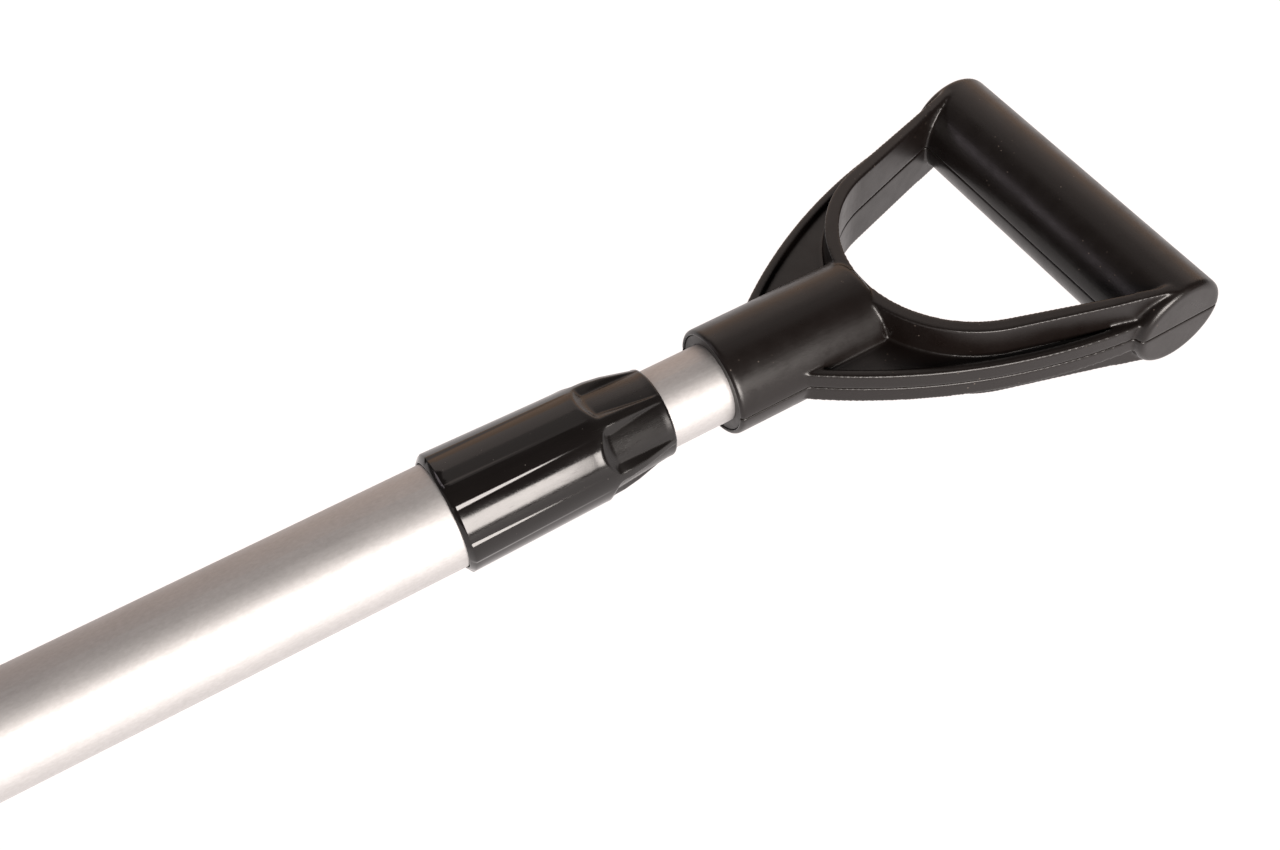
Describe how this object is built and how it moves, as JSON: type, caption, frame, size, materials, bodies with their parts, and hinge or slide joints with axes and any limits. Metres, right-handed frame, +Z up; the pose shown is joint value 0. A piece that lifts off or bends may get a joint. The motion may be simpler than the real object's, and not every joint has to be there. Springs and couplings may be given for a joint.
{
  "type": "camp shovel",
  "caption": "Telescopic camp shovel with a black D-grip, a twist-lock collar on two aluminium tubes and a pressed scoop blade.",
  "frame": {"origin": "centre of the footprint, at the level of the ground the shovel lies on", "axes": "+X along the shaft from the blade to the grip, +Y along the grip bar, +Z up out of the scoop"},
  "size_m": [0.7542, 0.2274, 0.0542],
  "materials": {
    "handle_plastic": "satin moulded, fine texture",
    "collar_plastic": "high gloss",
    "bush_plastic": "satin",
    "nylon": "natural nylon",
    "shaft_aluminium": "satin anodised",
    "blade_aluminium": "brushed, satin anodised",
    "rivet_aluminium": "bright",
    "steel": "zinc plated"
  },
  "bodies": {
    "blade_and_shaft": {"blade": "blade_aluminium", "blade_saddle": "blade_aluminium", "blade_rivets": "rivet_aluminium", "outer_tube": "shaft_aluminium", "outer_tube_plug": "bush_plastic", "clamp_sleeve": "nylon", "clamp_sleeve_pins": "steel", "button_spring": "steel"},
    "guide": {"guide_bush": "nylon"},
    "handle_and_shaft": {"handle_top_shell": "handle_plastic", "handle_bottom_shell": "handle_plastic", "handle_shell_screws": "steel", "handle_adapter_bush": "bush_plastic", "handle_fixing_screw": "steel", "inner_tube": "shaft_aluminium", "inner_tube_plug": "bush_plastic", "guide_stop_ring": "shaft_aluminium"},
    "clamp": {"clamp_ring": "nylon"},
    "collar": {"lock_collar": "collar_plastic"},
    "button": {"snap_button": "steel"}
  },
  "joints": [
    {"name": "shaft_slide", "type": "slide", "parent": "blade_and_shaft", "child": "guide", "axis": [1, 0, 0], "range_m": [-0.017, 0.2]},
    {"name": "handle_swivel", "type": "hinge", "parent": "guide", "child": "handle_and_shaft", "pos_m": [-0.09115, 0, 0.0182], "axis": [1, 0, 0], "continuous": true},
    {"name": "collar_travel", "type": "slide", "parent": "blade_and_shaft", "child": "clamp", "axis": [1, 0, 0], "range_m": [0, 0.0023]},
    {"name": "collar_turn", "type": "hinge", "parent": "clamp", "child": "collar", "pos_m": [0.17485, 0, 0.0182], "axis": [1, 0, 0], "range_deg": [0, 270]},
    {"name": "button_press", "type": "slide", "parent": "blade_and_shaft", "child": "button", "axis": [0, 0, -1], "range_m": [0, 0.0042], "stiffness_N_per_m": 800, "springref_m": -0.004, "deforming": ["button_spring"]}
  ],
  "couplings": [
    {"joint": "collar_travel", "follows": "collar_turn", "m_per_rad": 0.00047746}
  ]
}
